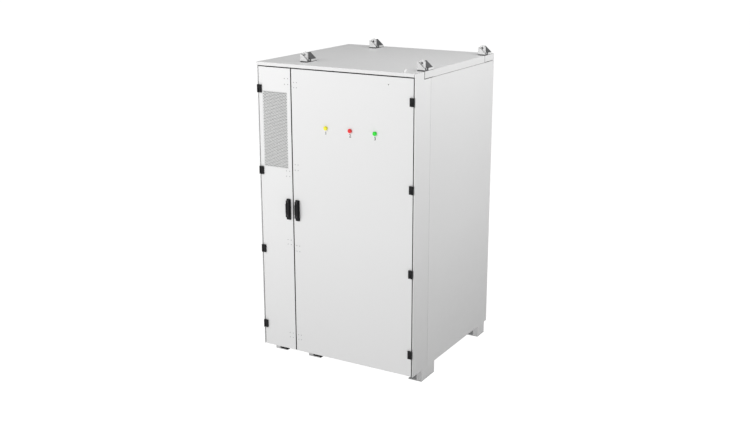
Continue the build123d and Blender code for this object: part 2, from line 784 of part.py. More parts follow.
def lamp(x):
    """Signal lamp: bevelled lens in front of the door, threaded body behind it."""
    lens = cylinder_y(x, lamp_z, lamp_radius, (-lamp_out, 0))
    lens = chamfer(lens.edges().sort_by(Axis.Y)[:1], lamp_bevel)
    return lens + cylinder_y(x, lamp_z, lamp_body_radius, (-1.0, lamp_body_depth))


# ---------------------------------------------------------------- swing handles and rod locks
def handle_base(x):
    """Flat escutcheon with small rounded corners, bored for the spindle."""
    low = spindle_z - handle_length + handle_width
    centre = (low + spindle_z) / 2
    outline = Plane.XZ * RectangleRounded(handle_width, handle_length, handle_corner)
    plate = Pos(x, 0, centre) * extrude(outline, handle_base_thickness)
    return plate - cylinder_y(x, spindle_z, spindle_radius + pivot_clearance, (-20, 1))


def involute(radius, base):
    """Roll-off angle of an involute at a radius."""
    angle = math.acos(base / radius)
    return math.tan(angle) - angle


def pinion_outline():
    """Outline of the pinion: involute flanks on a base circle, radial below it."""
    base = pitch_radius * math.cos(math.radians(pressure_angle))
    tip = pitch_radius + pinion_addendum
    root = pitch_radius - rack_addendum - tooth_clearance
    half_tooth = (math.pi * gear_module / 2 - tooth_backlash) / 2 / pitch_radius
    at_pitch = involute(pitch_radius, base)
    steps = 3
    flank = [(root, half_tooth + at_pitch)]
    for step in range(steps + 1):
        radius = base + (tip - base) * step / steps
        flank.append((radius, half_tooth + at_pitch - involute(radius, base)))
    points = []
    for tooth in range(pinion_teeth):
        middle = 2 * math.pi * tooth / pinion_teeth
        for radius, angle in flank:
            points.append((radius * math.cos(middle - angle), radius * math.sin(middle - angle)))
        for radius, angle in reversed(flank):
            points.append((radius * math.cos(middle + angle), radius * math.sin(middle + angle)))
    return points


def handle_spindle(x):
    """Hub with the tongue for the grip's pin, the shaft through the door, and the pinion on its end."""
    base_front = -handle_base_thickness
    disc = cylinder_y(x, spindle_z, hub_radius, (base_front - hub_thickness, base_front))
    tongue_x = (x - tongue_width / 2, x + tongue_width / 2)
    tongue_y = (grip_pin_y - tongue_reach, base_front - 1.0)
    tongue = block(tongue_x, tongue_y, (spindle_z - 7.0, spindle_z + 7.0))
    tongue -= cylinder_x(grip_pin_y, spindle_z, grip_pin_radius + pivot_clearance, (x - 7.0, x + 7.0))
    shaft = cylinder_y(x, spindle_z, spindle_radius, (base_front - 1.0, liner_back + case_depth + 2.0))
    outline = [(x + px, spindle_z + pz) for px, pz in pinion_outline()]
    gear = prism_y(outline, (gear_front, gear_front + gear_thickness))
    return disc + tongue + shaft + gear


def handle_grip(x):
    """Lever with two raised ribs, a forked top that holds the pin, and the lock barrel's bore."""
    low = spindle_z - handle_length + handle_width + grip_foot
    front = grip_pin_y - grip_swing_radius
    back = grip_pin_y + grip_swing_radius
    half = grip_width / 2
    profile = [(front, spindle_z - 10.0), (front - grip_rise, low + 40.0), (front - grip_rise, low)]
    profile += [(back, low), (back, spindle_z - 10.0)]
    lever = prism_x(profile, (x - half, x + half))
    corners = lever.edges().filter_by(Axis.Y).sort_by(Axis.Z)[:2]
    lever = chamfer(corners, handle_corner - 1.0)
    rib_z = (barrel_z + lock_barrel_radius + 6.0, spindle_z - 18.0)
    for side in (-1, 1):
        rib_x = sorted((x + side * (half - grip_rib), x + side * half))
        lever += block(rib_x, (front - grip_rise - grip_rib_height, front), rib_z)
    ears = cylinder_x(grip_pin_y, spindle_z, grip_swing_radius, (x - half, x + half))
    neck = block((x - half, x + half), (front, back), (spindle_z - 11.0, spindle_z))
    fork_x = (x - tongue_width / 2 - slip, x + tongue_width / 2 + slip)
    fork = ears + neck - block(fork_x, (front - 1, back + 1), (spindle_z - 9.9, spindle_z + 10.0))
    lever += fork
    pin_bore = grip_pin_radius + pivot_clearance
    lever -= cylinder_x(grip_pin_y, spindle_z, pin_bore, (x - half - 1, x + half + 1))
    return lever - cylinder_y(x, barrel_z, lock_barrel_radius, (front - grip_rise - 1, back + 1))


def grip_pin(x):
    half = grip_width / 2
    return cylinder_x(grip_pin_y, spindle_z, grip_pin_radius, (x - half, x + half))


def lock_barrel(x):
    """Key cylinder in the lower end of the grip, with its keyway."""
    front = grip_pin_y - grip_swing_radius - grip_rise - 0.5
    back = grip_pin_y + grip_swing_radius + 1.0
    barrel = cylinder_y(x, barrel_z, lock_barrel_radius - pivot_clearance, (front, back))
    keyway = block((x - 0.8, x + 0.8), (front - 1, front + 4.0), (barrel_z - 3.5, barrel_z + 3.5))
    return barrel - keyway


def rack_teeth(x, centre, span, towards):
    """Straight teeth along a rod's edge. towards is the side of the rod on which the pinion stands."""
    pitch = math.pi * gear_module
    lean = math.tan(math.radians(pressure_angle))
    half = (pitch / 2 - tooth_backlash) / 2
    root = -rack_root
    teeth = []
    for index in range(span[0], span[1]):
        middle = centre + (index + 0.5) * pitch
        outline = []
        for depth, sign in ((root, -1), (rack_addendum, -1), (rack_addendum, 1), (root, 1)):
            offset = sign * (half - depth * lean)
            outline.append((x + towards * depth, middle + offset))
        teeth.append(outline)
    return teeth


def lock_rod(x, side, upper):
    """Flat lock rod with its rack. side is 1 when the rod runs on the pinion's +X side, -1 on its -X side."""
    pitch_line = x + side * pitch_radius
    root_gap = rack_root
    body_x = sorted((pitch_line + side * root_gap, pitch_line + side * (root_gap + rod_thickness)))
    rod_y = (gear_front + slip, gear_front + slip + rod_depth)
    if upper:
        z = (spindle_z - rack_overrun, keeper_edge - rod_short_of_keeper)
        span = (-2, 4)
    else:
        z = (sill_keeper_edge + rod_short_of_keeper, spindle_z + rack_overrun)
        span = (-4, 2)
    rod = block(body_x, rod_y, z)
    for outline in rack_teeth(pitch_line, spindle_z, span, -side):
        rod += prism_y(outline, rod_y)
    corners = rod.edges().filter_by(Axis.Y).sort_by(Axis.Z)
    ends = corners[-2:] if upper else corners[:2]
    return fillet(ends, rod_thickness * 0.4)


def lock_case(x, guides, mirrored):
    """Gear case on the liner and the guides that keep each rod straight."""
    half = case_half_width
    y = (liner_back, liner_back + case_depth)
    z = (spindle_z - case_half_height, spindle_z + case_half_height)
    case = block((x - half, x + half), y, z)
    inside = (x - half + case_wall, x + half - case_wall)
    case -= block(inside, (y[0] + case_wall, y[1] - case_wall), (z[0] - 1, z[1] + 1))
    case -= cylinder_y(x, spindle_z, spindle_radius + pivot_clearance, (y[0] - 1, y[1] + 1))
    solids = [case]
    rod_offset = pitch_radius + rack_root
    for height in guides:
        upper = body_bottom + height > spindle_z
        side = (-1 if upper else 1) * (-1 if mirrored else 1)
        limits = sorted((x + side * (rod_offset - slip), x + side * (rod_offset + rod_thickness + slip)))
        guide_z = (body_bottom + height - guide_height / 2, body_bottom + height + guide_height / 2)
        outer = block((limits[0] - 2.5, limits[1] + 2.5), (y[0], y[1] - 2.0), guide_z)
        slot_y = (gear_front, gear_front + rod_depth + 2 * slip)
        solids.append(outer - block(limits, slot_y, (guide_z[0] - 1, guide_z[1] + 1)))
    return solids


# ---------------------------------------------------------------- battery rack
def pack_bottoms():
    return [body_bottom + first_pack + index * pack_pitch for index in range(pack_count)]


def battery_pack(z):
    """Tray and lid with a flange between them, and a raised terminal panel on the front."""
    rim = z + pack_tray + pack_rim
    tray = block(pack_x, pack_y, (z, z + pack_tray))
    flange = block((pack_x[0] - pack_rim_out, pack_x[1] + pack_rim_out), pack_y, (z + pack_tray, rim))
    lid_x = (pack_x[0] + 4.0, pack_x[1] - 4.0)
    lid = block(lid_x, (pack_y[0] + 4.0, pack_y[1] - 4.0), (rim, z + pack_height))
    lid = chamfer(lid.faces().sort_by(Axis.Z)[-1].edges(), 10.0)
    panel_x = (pack_x[0] + terminal_panel_inset, pack_x[1] - terminal_panel_inset)
    panel = block(panel_x, (terminal_front, pack_y[0]), (z + 14.0, z + pack_tray - 10.0))
    return tray + flange + lid + panel


def pack_connectors(z):
    """Two power sockets and the signal socket on a pack's front."""
    solids = []
    height = z + terminal_height
    for x in (pack_x[0] + terminal_inset, pack_x[1] - terminal_inset):
        socket = extrude(Plane.XZ * RegularPolygon(socket_radius, 8), socket_length)
        solids.append(Pos(x, terminal_front, height) * socket)
    middle = sum(pack_x) / 2
    signal_y = (terminal_front - socket_length / 2, terminal_front)
    solids.append(block((middle - 22.0, middle + 22.0), signal_y, (height - 12.0, height + 12.0)))
    return solids


def rack_rails():
    """Angle rails on both sides under every pack, and the uprights that carry them."""
    solids = []
    rail_y = (pack_y[0] + 20.0, post_rear + post_depth - 10.0)
    left_wall = pack_x[0] - rail_gap
    right_wall = pack_x[1] + rail_gap
    for z in pack_bottoms():
        for wall, inward in ((left_wall, 1), (right_wall, -1)):
            web = sorted((wall, wall + inward * rail_thickness))
            shelf = sorted((wall, wall + inward * rail_shelf))
            angle = block(web, rail_y, (z - rail_thickness, z + rail_height))
            solids.append(angle + block(shelf, rail_y, (z - rail_thickness, z)))
    upright_z = (body_bottom + beam_height + skin, roof_frame_z[0])
    for front in (post_front, post_rear):
        bar_y = (front + 20.0, front + post_depth - 20.0)
        solids.append(block((left_post[1], left_wall), bar_y, upright_z))
        solids.append(block((right_wall, right_post[0]), bar_y, upright_z))
    return solids


def coolant_pipes():
    """Supply and return manifolds in front of the packs, each with a short square branch to every pack."""
    solids = []
    limits = (pack_bottoms()[0] - 20.0, pack_bottoms()[-1] + 120.0)
    y = pack_y[0] - manifold_out
    for inset in manifold_insets:
        x = pack_x[1] - inset
        pipe = cylinder_z(x, y, manifold_radius, limits)
        branch_x = (x - branch_half, x + branch_half)
        for z in pack_bottoms():
            height = z + branch_height
            pipe += block(branch_x, (y, pack_y[0]), (height - branch_half, height + branch_half))
        solids.append(pipe)
    return solids


def busbar_links():
    """Insulated copper links that join each pack to the next."""
    solids = []
    heights = [z + terminal_height for z in pack_bottoms()]
    x = pack_x[0] + terminal_inset
    bar_x = (x - busbar_width / 2, x + busbar_width / 2)
    back = terminal_front - socket_length
    for limits in zip(heights, heights[1:]):
        solids.append(block(bar_x, (back - busbar_thickness, back), limits))
    return solids


# ---------------------------------------------------------------- cooling unit and switchgear
def fan_shroud():
    """Plate with two round ducts, side walls that hang it, and a motor strut behind each fan."""
    walls_y = (shroud_front, shroud_front + shroud_depth)
    shroud = block(cooler_x, (shroud_front, shroud_front + frame_sheet), cooler_z)
    shroud += block((cooler_x[0], cooler_x[0] + skin), walls_y, cooler_z)
    shroud += block((cooler_x[1] - skin, cooler_x[1]), walls_y, cooler_z)
    duct_end = shroud_front + fan_depth + 6.0
    duct_radius = fan_radius + fan_gap
    motor_y = (shroud_front + fan_depth + 2.0, shroud_front + fan_depth + 2.0 + motor_length)
    for z in fan_heights:
        shroud += cylinder_y(cooler_middle, z, duct_radius + frame_sheet, (shroud_front, duct_end))
    for z in fan_heights:
        shroud -= cylinder_y(cooler_middle, z, duct_radius, (0, duct_end + 1))
        strut = (motor_y[1] - 1.0, motor_y[1] + 19.0)
        shroud += block(cooler_x, strut, (z - fan_strut / 2, z + fan_strut / 2))
        shroud += cylinder_y(cooler_middle, z, fan_hub_radius - 4.0, motor_y)
        shroud += cylinder_y(cooler_middle, z, fan_shaft_radius, (shroud_front + 10.0, motor_y[0] + 1.0))
    return shroud


def fan(z):
    """Axial rotor: a cup hub bored for its shaft, and flat tapered blades set at an angle."""
    y = (shroud_front + 4.0, shroud_front + fan_depth)
    rotor = cylinder_y(cooler_middle, z, fan_hub_radius, y)
    root = fan_hub_radius - 3.0
    outline = [(-blade_root / 2, root), (blade_root / 2, root), (blade_tip / 2, fan_radius + 5.0)]
    outline += [(-blade_tip / 2, fan_radius + 5.0)]
    vane = Rot(0, 0, blade_angle) * prism_y(outline, (-blade_thickness / 2, blade_thickness / 2))
    middle = Pos(cooler_middle, sum(y) / 2, z)
    for blade in range(fan_blades):
        rotor += middle * Rot(0, blade * 360.0 / fan_blades, 0) * vane
    rotor &= cylinder_y(cooler_middle, z, fan_radius, y)
    return rotor - cylinder_y(cooler_middle, z, fan_shaft_radius + pivot_clearance, (y[0] + 5.0, y[1] + 1))


def condenser_coil():
    """Finned core between two headers, in front of the fans."""
    y = (frame_back + slip, shroud_front - slip)
    core_x = (cooler_x[0] + header_radius, cooler_x[1] - header_radius)
    core = block(core_x, (y[0] + 4.0, y[1] - 4.0), (cooler_z[0] + 6.0, cooler_z[1] - 6.0))
    headers = cylinder_z(cooler_x[0] + header_radius, sum(y) / 2, header_radius, cooler_z)
    headers += cylinder_z(cooler_x[1] - header_radius, sum(y) / 2, header_radius, cooler_z)
    return core + headers + block(cooler_x, y, (cooler_z[0] - skin, cooler_z[0]))


def compressor():
    """Compressor, pump and plate exchanger on the unit's shelf."""
    shelf_front = shroud_front + 20.0
    shelf_y = (shelf_front, shelf_front + cooler_depth)
    can_y = shelf_front + can_setback
    shelf = block((tray_fold, main_left - skin), shelf_y, (shelf_top - shelf_sheet, shelf_top))
    can = cylinder_z(cooler_middle, can_y, can_radius, (shelf_top, shelf_top + can_height))
    can = chamfer(can.edges().sort_by(Axis.Z)[-1:], can_bevel)
    width, depth, height = exchanger
    plates_x = (cooler_middle - width / 2, cooler_middle + width / 2)
    plates_y = can_y + can_radius + unit_gap
    plates = block(plates_x, (plates_y, plates_y + depth), (shelf_top, shelf_top + height))
    pump_y = (plates_y + depth + unit_gap, plates_y + depth + unit_gap + pump_length)
    cradle_x = (cooler_middle - pump_radius + 5.0, cooler_middle + pump_radius - 5.0)
    pump = cylinder_y(cooler_middle, shelf_top + pump_radius + 10.0, pump_radius, pump_y)
    pump += block(cradle_x, (pump_y[0] + 10.0, pump_y[1] - 10.0), (shelf_top, shelf_top + 30.0))
    return [shelf, can, plates, pump]


def switch_box():
    """Steel box with a lid that overlaps it, and the collar of the main switch."""
    box = block(switch_x, switch_y, switch_z)
    lid_x = (switch_x[0] + 3.0, switch_x[1] - 3.0)
    lid = block(lid_x, (switch_y[0] - switch_lid, switch_y[0]), (switch_z[0] + 3.0, switch_z[1] - 3.0))
    lid = chamfer(lid.faces().sort_by(Axis.Y)[0].edges(), 4.0)
    collar_x = (switch_middle - switch_collar, switch_middle + switch_collar)
    collar_z = (switch_knob_z - switch_collar, switch_knob_z + switch_collar)
    collar = block(collar_x, (switch_collar_front, switch_y[0] - switch_lid), collar_z)
    bore_radius = switch_shaft_radius + pivot_clearance
    return box + lid + collar - cylinder_y(switch_middle, switch_knob_z, bore_radius, (0, switch_y[0] + 20.0))


def main_switch():
    """Rotary handle of the main switch, with its pointer bar and shaft."""
    y = switch_collar_front
    bar_x = (switch_middle - 7.0, switch_middle + 7.0)
    bar_z = (switch_knob_z - switch_knob_radius, switch_knob_z + switch_knob_radius)
    disc = cylinder_y(switch_middle, switch_knob_z, switch_knob_radius, (y - 8.0, y - slip))
    bar = block(bar_x, (y - 26.0, y - 7.0), bar_z)
    shaft = cylinder_y(switch_middle, switch_knob_z, switch_shaft_radius, (y - 1.0, switch_y[0] + 15.0))
    return disc + bar + shaft


def cable_glands():
    """Gland plate over the cable opening, with its hexagonal glands."""
    z = body_bottom + beam_height + skin
    top = z + frame_sheet
    plate_x = (gland_opening_x[0] - gland_plate_lap, gland_opening_x[1] + gland_plate_lap)
    plate_y = (gland_opening_y[0] - gland_plate_lap, gland_opening_y[1] + gland_plate_lap)
    plate = block(plate_x, plate_y, (z, top))
    glands = []
    for x, y in gland_places:
        bore = cylinder_z(x, y, gland_bore_radius, (z - 1, top + gland_height + 1))
        plate -= bore
        glands.append(Pos(x, y, top) * extrude(RegularPolygon(gland_outer_radius, 6), gland_height) - bore)
    return [plate] + glands


# ---------------------------------------------------------------- write every sub-part
def main():
    os.makedirs("parts", exist_ok=True)
    save("feet", *feet())
    save("base_frame", *base_frame())
    save("floor_plate", floor_plate())
    save("posts", *posts())
    save("roof_frame", *roof_frame())
    save("door_frame", *door_frame())
    save("rod_keepers", *rod_keepers())
    save("front_strips", right_front_strip(), left_front_strip())
    save("right_side_panel", right_side_panel())
    save("left_side_panel", left_side_panel())
    save("rear_panels", *rear_panels())
    save("partition", partition())
    save("roof_cap", roof_cap())
    save("roof_breather", roof_breather())
    save("lifting_brackets", *lifting_brackets())
    save("lug_gaskets", *lug_gaskets())
    save("lifting_lugs", *[lifting_lug(x, y) for x, y in lug_places])
    save("lug_bolts", *lug_bolts())
    sides = ((right_hinge_x, 1), (left_hinge_x, -1))
    save("hinge_frame_leaves", *[hinge_frame_leaf(x, z, side) for x, side in sides for z in hinge_rows()])
    pin_length = (-hinge_height / 2, hinge_height / 2)
    pin = cylinder_z(0, -hinge_axis_out, hinge_pin_radius, pin_length)
    save("hinge_pins", *[Pos(x, 0, z) * pin for x, _ in sides for z in hinge_rows()])
    save("right_hinge_leaves", *[hinge_door_leaf(right_hinge_x, z, 1) for z in hinge_rows()])
    save("left_hinge_leaves", *[hinge_door_leaf(left_hinge_x, z, -1) for z in hinge_rows()])
    save("right_door_panel", right_door_panel())
    save("left_door_panel", left_door_panel())
    save("right_door_liner", door_liner(right_door_edges) - spindle_hole(right_spindle_x))
    save("left_door_liner", left_door_liner())
    save("right_door_seal", *door_seal(right_door_edges, (3.0, 8.0)))
    save("left_door_seal", *door_seal(left_door_edges, (8.0, 1.5)))
    save("intake_grille", intake_grille())
    save("intake_filter", intake_filter())
    for name, x in zip(("lamp_yellow", "lamp_red", "lamp_green"), lamp_places):
        save(name, lamp(x))
    for name, x, guides in (("right", right_spindle_x, right_guides), ("left", left_spindle_x, left_guides)):
        mirrored = name == "left"
        upper_side = 1 if mirrored else -1
        save(f"{name}_handle_base", handle_base(x))
        save(f"{name}_handle_spindle", handle_spindle(x))
        save(f"{name}_handle_grip", handle_grip(x), grip_pin(x))
        save(f"{name}_lock_barrel", lock_barrel(x))
        save(f"{name}_lock_case", *lock_case(x, guides, mirrored))
        save(f"{name}_rod_upper", lock_rod(x, upper_side, True))
        save(f"{name}_rod_lower", lock_rod(x, -upper_side, False))
    save("battery_packs", *[battery_pack(z) for z in pack_bottoms()])
    save("pack_connectors", *[solid for z in pack_bottoms() for solid in pack_connectors(z)])
    save("rack_rails", *rack_rails())
    save("coolant_pipes", *coolant_pipes())
    save("busbar_links", *busbar_links())
    save("condenser_coil", condenser_coil())
    save("fan_shroud", fan_shroud())
    save("lower_fan", fan(fan_heights[0]))
    save("upper_fan", fan(fan_heights[1]))
    save("compressor", *compressor())
    save("switch_box", switch_box())
    save("main_switch", main_switch())
    save("cable_glands", *cable_glands())


main()
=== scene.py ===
import math

import bmesh
import bpy
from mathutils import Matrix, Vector


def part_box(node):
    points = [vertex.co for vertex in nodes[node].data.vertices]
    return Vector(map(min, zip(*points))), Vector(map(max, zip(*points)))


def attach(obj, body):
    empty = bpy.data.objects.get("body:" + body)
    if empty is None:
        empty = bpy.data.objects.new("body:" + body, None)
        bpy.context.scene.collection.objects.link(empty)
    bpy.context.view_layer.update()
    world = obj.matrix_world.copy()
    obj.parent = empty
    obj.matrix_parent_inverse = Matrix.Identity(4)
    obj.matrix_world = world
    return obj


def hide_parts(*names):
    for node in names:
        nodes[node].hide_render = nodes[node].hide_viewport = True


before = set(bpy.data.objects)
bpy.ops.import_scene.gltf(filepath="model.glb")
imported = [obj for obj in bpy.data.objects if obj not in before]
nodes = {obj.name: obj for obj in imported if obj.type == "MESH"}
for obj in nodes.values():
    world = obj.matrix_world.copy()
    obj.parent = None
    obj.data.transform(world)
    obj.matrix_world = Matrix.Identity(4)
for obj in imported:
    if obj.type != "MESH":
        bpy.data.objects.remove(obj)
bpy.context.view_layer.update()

# ---------------------------------------------------------------- places from the frame, in metres
MM = 0.001
door_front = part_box("right_door_panel")[0][1]
cabinet_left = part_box("left_side_panel")[0][0]
cabinet_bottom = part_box("base_frame")[0][2]

camera_offset = (4.4949, -6.1386, 3.1654)  # from the cabinet's lower left front corner
corner_place = (cabinet_left, door_front, cabinet_bottom)
camera_place = tuple(place + offset for place, offset in zip(corner_place, camera_offset))
camera_turn = (math.radians(74.51), 0.0, math.radians(29.74))
camera_lens = 50.0  # the lens and the sensor's width are in millimetres
camera_sensor = 36.0
camera_reach = 400.0  # past the far sides of the floor


def on_door(x, z, out=0.0):
    """A place out of the doors' front face, in millimetres from the body's lower left corner."""
    return Vector((cabinet_left + x * MM, door_front - out * MM, cabinet_bottom + z * MM))


# ---------------------------------------------------------------- materials
def new_material(name):
    material = bpy.data.materials.new(name)
    material.use_nodes = True
    tree = material.node_tree
    return material, tree, tree.nodes["Principled BSDF"]


def noise(tree, scale, detail=3.0):
    """A noise pattern on the object's own coordinates."""
    place = tree.nodes.new("ShaderNodeTexCoord")
    node = tree.nodes.new("ShaderNodeTexNoise")
    node.inputs["Scale"].default_value = scale
    node.inputs["Detail"].default_value = detail
    tree.links.new(place.outputs["Object"], node.inputs["Vector"])
    return node


def spread(tree, source, low, high, target):
    """Turns a 0 to 1 pattern into a range on one of the shader's sockets."""
    ramp = tree.nodes.new("ShaderNodeMapRange")
    ramp.inputs["From Min"].default_value = 0.3
    ramp.inputs["From Max"].default_value = 0.7
    ramp.inputs["To Min"].default_value = low
    ramp.inputs["To Max"].default_value = high
    tree.links.new(source, ramp.inputs["Value"])
    tree.links.new(ramp.outputs["Result"], target)


def shade(tree, shader, pattern, dark, light):
    """Base colour that drifts between two tones along a pattern."""
    mix = tree.nodes.new("ShaderNodeMix")
    mix.data_type = "RGBA"
    mix.inputs[6].default_value = (*dark, 1)
    mix.inputs[7].default_value = (*light, 1)
    tree.links.new(pattern.outputs["Fac"], mix.inputs[0])
    tree.links.new(mix.outputs[2], shader.inputs["Base Color"])


def relief(tree, shader, pattern, strength, distance):
    bump = tree.nodes.new("ShaderNodeBump")
    bump.inputs["Strength"].default_value = strength
    bump.inputs["Distance"].default_value = distance
    tree.links.new(pattern.outputs["Fac"], bump.inputs["Height"])
    tree.links.new(bump.outputs["Normal"], shader.inputs["Normal"])


def math_node(tree, operation, first, second=None):
    """A scalar operation. Each operand is a socket or a number."""
    node = tree.nodes.new("ShaderNodeMath")
    node.operation = operation
    for index, operand in enumerate((first, second)):
        if isinstance(operand, (int, float)):
            node.inputs[index].default_value = operand
        elif operand is not None:
            tree.links.new(operand, node.inputs[index])
    return node.outputs[0]


def mixed(tree, factor, first, second):
    """Colour between two colours. Each colour is a socket or three numbers."""
    mix = tree.nodes.new("ShaderNodeMix")
    mix.data_type = "RGBA"
    tree.links.new(factor, mix.inputs[0])
    for index, colour in ((6, first), (7, second)):
        if isinstance(colour, tuple):
            mix.inputs[index].default_value = (*colour, 1)
        else:
            tree.links.new(colour, mix.inputs[index])
    return mix.outputs[2]


# near-black painted shade for faces in the gaps between parts, under lips and in recesses
gap_shade_colour = (0.025, 0.025, 0.025)


def paint_with_painted_shade(name, low, middle, high, shade_masks=()):
    """White powder coat, darker towards the ground as painted shade, with near-black painted shade on faces
    that lie in the gaps between parts.

    low, middle and high are grey levels up the sheet, set as painted light and shade. Each shade mask is a
    group of conditions that all have
    to hold, as (coordinates, axis, sign, limit): sign times the coordinate is over the limit.
    """
    material, tree, shader = new_material(name)
    place = tree.nodes.new("ShaderNodeTexCoord")
    parts = {}
    for kind in ("Generated", "Normal", "Object"):
        parts[kind] = tree.nodes.new("ShaderNodeSeparateXYZ")
        tree.links.new(place.outputs[kind], parts[kind].inputs[0])
    # painted shade: the grey rises from low at the ground to high at the top, with a slight random drift
    drift = math_node(tree, "MULTIPLY", noise(tree, 2.2).outputs["Fac"], 0.08)
    height = math_node(tree, "ADD", parts["Generated"].outputs["Z"], drift)
    lower = math_node(tree, "MULTIPLY", height, 2.0)
    lower_share = math_node(tree, "MINIMUM", lower, 1.0)
    lower_tone = mixed(tree, lower_share, (low, low, low), (middle, middle, middle))
    upper = math_node(tree, "MAXIMUM", math_node(tree, "SUBTRACT", lower, 1.0), 0.0)
    colour = mixed(tree, math_node(tree, "MINIMUM", upper, 1.0), lower_tone, (high, high, high))
    # each shade mask paints its faces near-black as shade
    for shade_mask in shade_masks:
        holds = None
        for kind, axis, sign, limit in shade_mask:
            signed = math_node(tree, "MULTIPLY", parts[kind].outputs[axis], sign)
            over = math_node(tree, "GREATER_THAN", signed, limit)
            holds = over if holds is None else math_node(tree, "MULTIPLY", holds, over)
        colour = mixed(tree, holds, colour, gap_shade_colour)
    tree.links.new(colour, shader.inputs["Base Color"])
    spread(tree, noise(tree, 14.0).outputs["Fac"], 0.4, 0.5, shader.inputs["Roughness"])
    relief(tree, shader, noise(tree, 900.0, 2.0), 0.25, 0.00006)
    return material


def coated(name, dark, light, roughness, grain, depth, metallic=0.0):
    """A coated or moulded surface: slow colour drift, uneven gloss and a fine raised grain."""
    material, tree, shader = new_material(name)
    shader.inputs["Metallic"].default_value = metallic
    shade(tree, shader, noise(tree, 3.0), dark, light)
    spread(tree, noise(tree, 14.0).outputs["Fac"], roughness[0], roughness[1], shader.inputs["Roughness"])
    relief(tree, shader, noise(tree, grain, 2.0), 0.25, depth)
    return material


def brushed(name, dark, light, roughness, stretch):
    """Rolled or brushed metal, its grain drawn out along one axis."""
    material, tree, shader = new_material(name)
    shader.inputs["Metallic"].default_value = 1.0
    grain = noise(tree, 60.0, 4.0)
    place = grain.inputs["Vector"].links[0].from_socket
    mapping = tree.nodes.new("ShaderNodeMapping")
    mapping.inputs["Scale"].default_value = stretch
    tree.links.new(place, mapping.inputs["Vector"])
    tree.links.new(mapping.outputs["Vector"], grain.inputs["Vector"])
    shade(tree, shader, grain, dark, light)
    spread(tree, grain.outputs["Fac"], roughness[0], roughness[1], shader.inputs["Roughness"])
    relief(tree, shader, grain, 0.15, 0.0003)
    return material


def lens(name, colour):
    """Lit lamp lens: coloured plastic with fine moulded facets and a glow of its own."""
    material, tree, shader = new_material(name)
    shader.inputs["Coat Weight"].default_value = 0.6
    shader.inputs["Emission Color"].default_value = (*colour, 1)
    shader.inputs["Emission Strength"].default_value = 0.16
    facets = noise(tree, 220.0, 1.0)
    shade(tree, shader, facets, tuple(0.75 * part for part in colour), colour)
    spread(tree, facets.outputs["Fac"], 0.18, 0.3, shader.inputs["Roughness"])
    relief(tree, shader, facets, 0.2, 0.0004)
    return material


paint = coated("white_paint", (0.735, 0.735, 0.735), (0.765, 0.765, 0.765), (0.36, 0.46), 900.0, 0.00006)
nearly_square = 0.8  # a face counts as facing an axis from this share of its normal
left_margin = 70.0 * MM
past_left = ("Object", "X", 1, cabinet_left + left_margin)
facing_right = ("Normal", "X", 1, nearly_square)
facing_up = ("Normal", "Z", 1, nearly_square)
facing_down = ("Normal", "Z", -1, nearly_square)
facing_front = ("Normal", "Y", -1, nearly_square)
facing_back = ("Normal", "Y", 1, nearly_square)
bracket_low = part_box("lifting_brackets")[0]
beside_bracket = ("Object", "Y", 1, bracket_low[1] - 7.0 * MM)
above_notch = ("Object", "Z", 1, bracket_low[2] - 5.0 * MM)
on_right = ("Object", "X", 1, 0.0)
left_of_load = ("Object", "X", -1, -300.0 * MM)
# bands along an edge, as shares of the piece's own width or height, painted near-black as shade in the gaps
# beside the doors and at the feet's soles
left_door_edge = ("Generated", "X", 1, 0.9943)
right_door_edge = ("Generated", "X", 1, 0.9988)
right_door_start = ("Generated", "X", -1, -0.0014)
foot_sole = ("Generated", "Z", -1, -0.03)
# copies of the white paint, each with grey levels that are painted light and shade for where it stands; their
# masks paint near-black shade on faces in the gaps, under the roof's lip, on and beside the brackets, and on
# the feet
left_door_paint = paint_with_painted_shade("left_door_paint", 0.7, 0.78, 0.81, (
    (facing_right,), (past_left, facing_up), (left_door_edge,)))
right_door_paint = paint_with_painted_shade("right_door_paint", 0.69, 0.76, 0.785, (
    (facing_right,), (facing_up,), (right_door_edge,), (right_door_start,)))
side_paint = paint_with_painted_shade("side_paint", 0.53, 0.705, 0.79, ((facing_front,), (facing_up,)))
rear_paint = paint_with_painted_shade("rear_paint", 0.6, 0.72, 0.78)
strip_paint = paint_with_painted_shade("strip_paint", 0.51, 0.7, 0.82, (
    (facing_back,), (on_right, beside_bracket, above_notch)))
roof_paint = paint_with_painted_shade("roof_paint", 0.78, 0.78, 0.78, ((past_left, facing_down),))
bracket_paint = paint_with_painted_shade("bracket_paint", 0.78, 0.78, 0.78, ((facing_front,), (facing_down,)))
# the feet are painted darker as shade under the cabinet
feet_paint = paint_with_painted_shade("feet_paint", 0.5, 0.52, 0.54, (
    (left_of_load, facing_right), (left_of_load, facing_up), (left_of_load, facing_back), (foot_sole,)))
# door frame, rod keepers and roof frame: near-black painted shade past the left margin, where they show
# through the gaps
frame_paint = paint_with_painted_shade("frame_paint", 0.7, 0.72, 0.74, ((past_left,),))
breather_white = coated(
    "breather_white", (0.82, 0.82, 0.82), (0.86, 0.86, 0.86), (0.45, 0.55), 1500.0, 0.00005)
screw_steel = brushed("screw_steel", (0.34, 0.34, 0.35), (0.46, 0.46, 0.47), (0.4, 0.5), (1.0, 1.0, 1.0))
grille_paint = coated("grille_paint", (0.74, 0.74, 0.735), (0.79, 0.79, 0.782), (0.42, 0.52), 1200.0, 0.00005)
black = coated("black_plastic", (0.006, 0.006, 0.007), (0.011, 0.011, 0.012), (0.5, 0.62), 2500.0, 0.00008)
black.node_tree.nodes["Principled BSDF"].inputs["Specular IOR Level"].default_value = 0.22
dark_steel = brushed("dark_steel", (0.05, 0.05, 0.052), (0.09, 0.09, 0.092), (0.4, 0.55), (1.0, 0.2, 1.0))
lug_white = coated("lug_white", (0.76, 0.76, 0.76), (0.8, 0.8, 0.8), (0.4, 0.5), 700.0, 0.0001)
